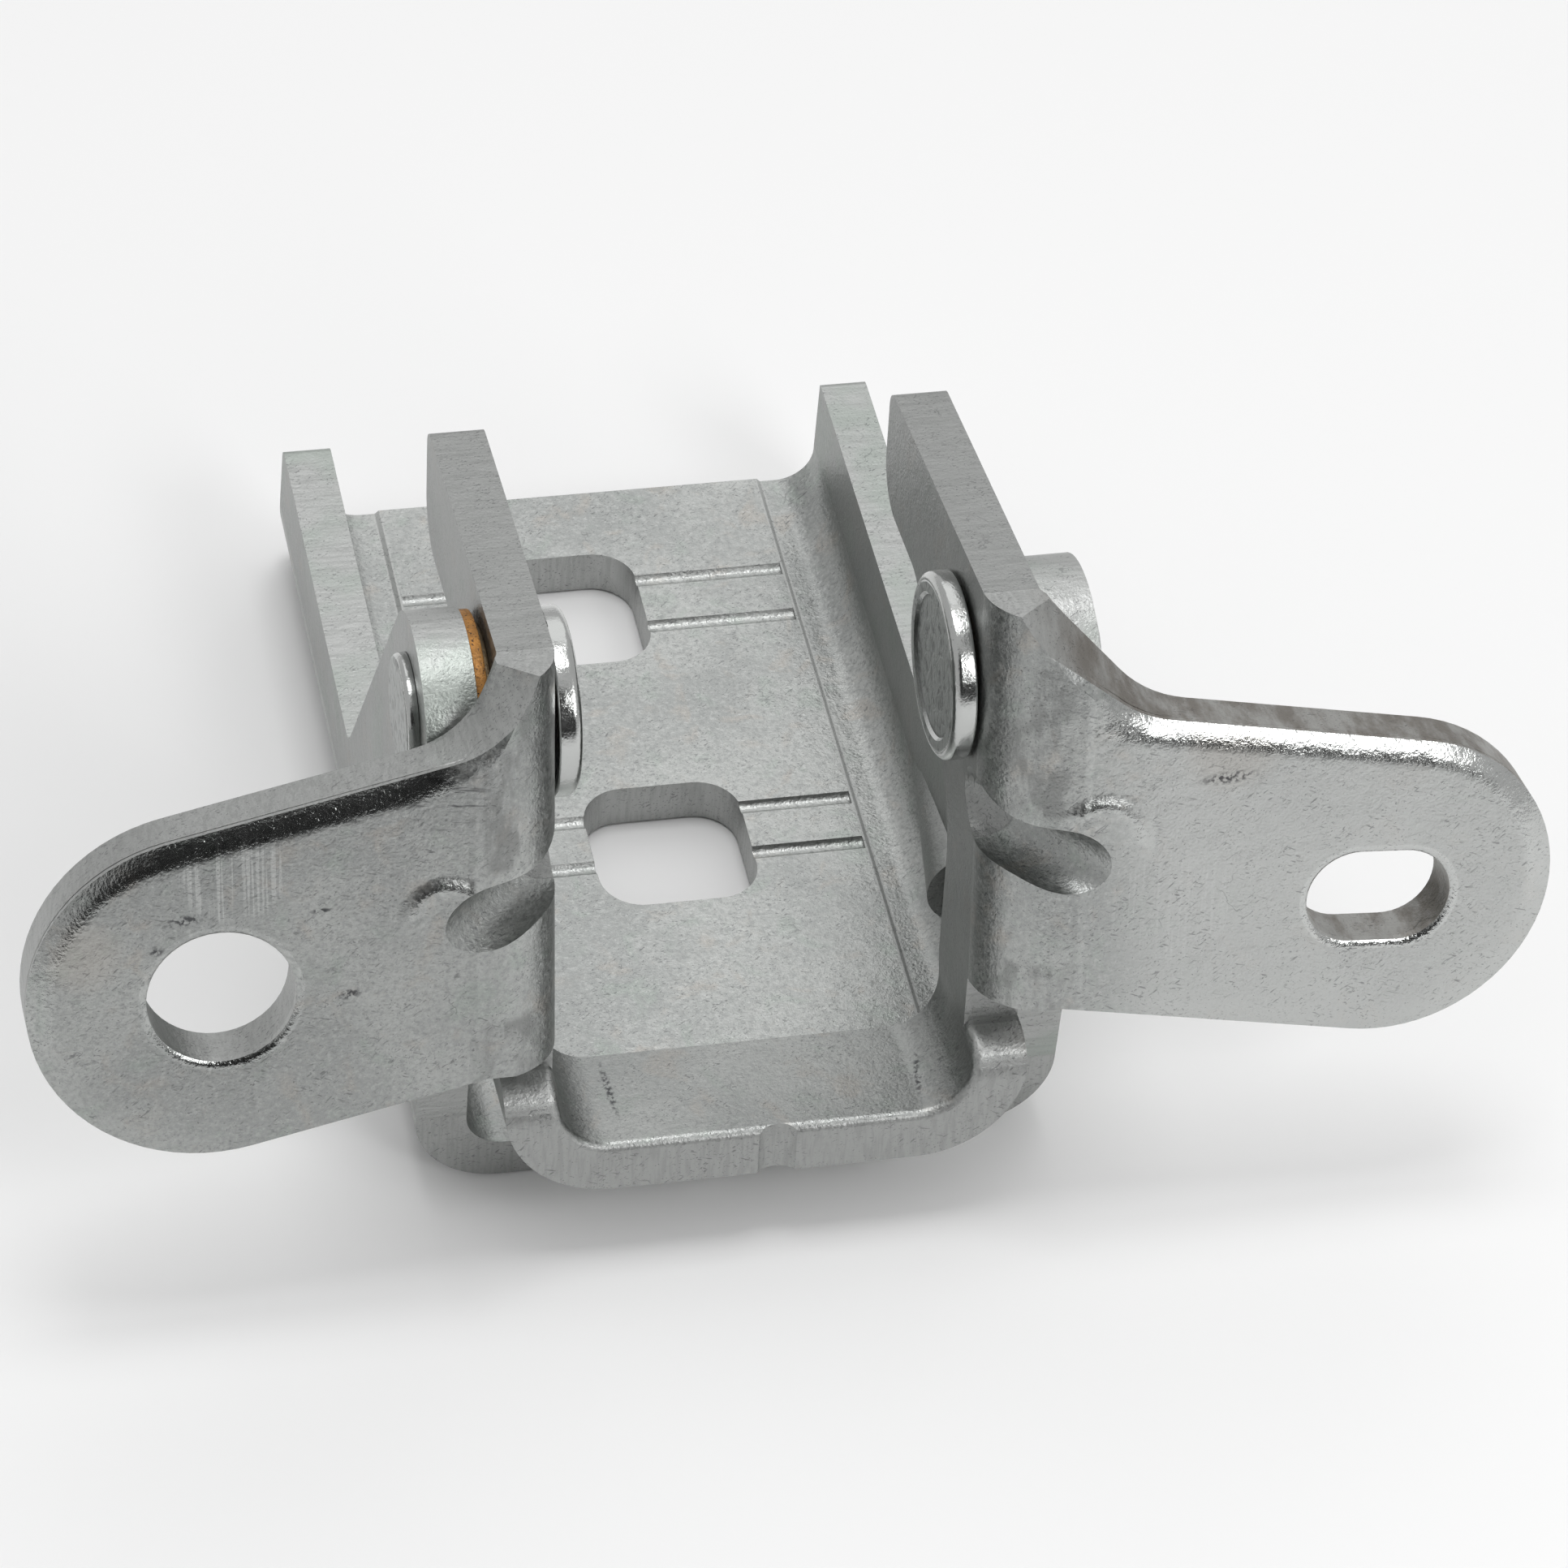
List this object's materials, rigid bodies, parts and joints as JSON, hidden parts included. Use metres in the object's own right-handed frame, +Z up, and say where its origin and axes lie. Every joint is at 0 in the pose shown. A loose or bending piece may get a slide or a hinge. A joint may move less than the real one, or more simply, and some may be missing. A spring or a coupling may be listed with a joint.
{
  "type": "hood hinge",
  "caption": "Riveted hood hinge: a channel base with two tall lugs carries a turning stirrup with rear arms and two drilled wings.",
  "frame": {"origin": "underside of the base plate, midway between its two bolt holes along the plate", "axes": "X along the pivot, +Y from the pivot towards the tail of the base plate, +Z up out of the plate"},
  "size_m": [0.1261, 0.0898, 0.0583],
  "materials": {
    "outer_zinc": "zinc plated, satin",
    "inner_zinc": "zinc plated, satin",
    "rivet_zinc": "zinc plated, bright",
    "bush_bronze": "dull sintered bronze",
    "washer_bronze": "speckled orange bronze"
  },
  "bodies": {
    "base": {"outer_bracket": "outer_zinc", "rivet_left": "rivet_zinc", "rivet_right": "rivet_zinc", "washer_left": "washer_bronze", "washer_right": "washer_bronze"},
    "stirrup": {"inner_bracket": "inner_zinc", "bush_left": "bush_bronze", "bush_right": "bush_bronze"}
  },
  "joints": [
    {"name": "pivot", "type": "hinge", "parent": "base", "child": "stirrup", "pos_m": [0, -0.0383, 0.0456], "axis": [1, 0, 0], "range_deg": [-75, 5]}
  ]
}
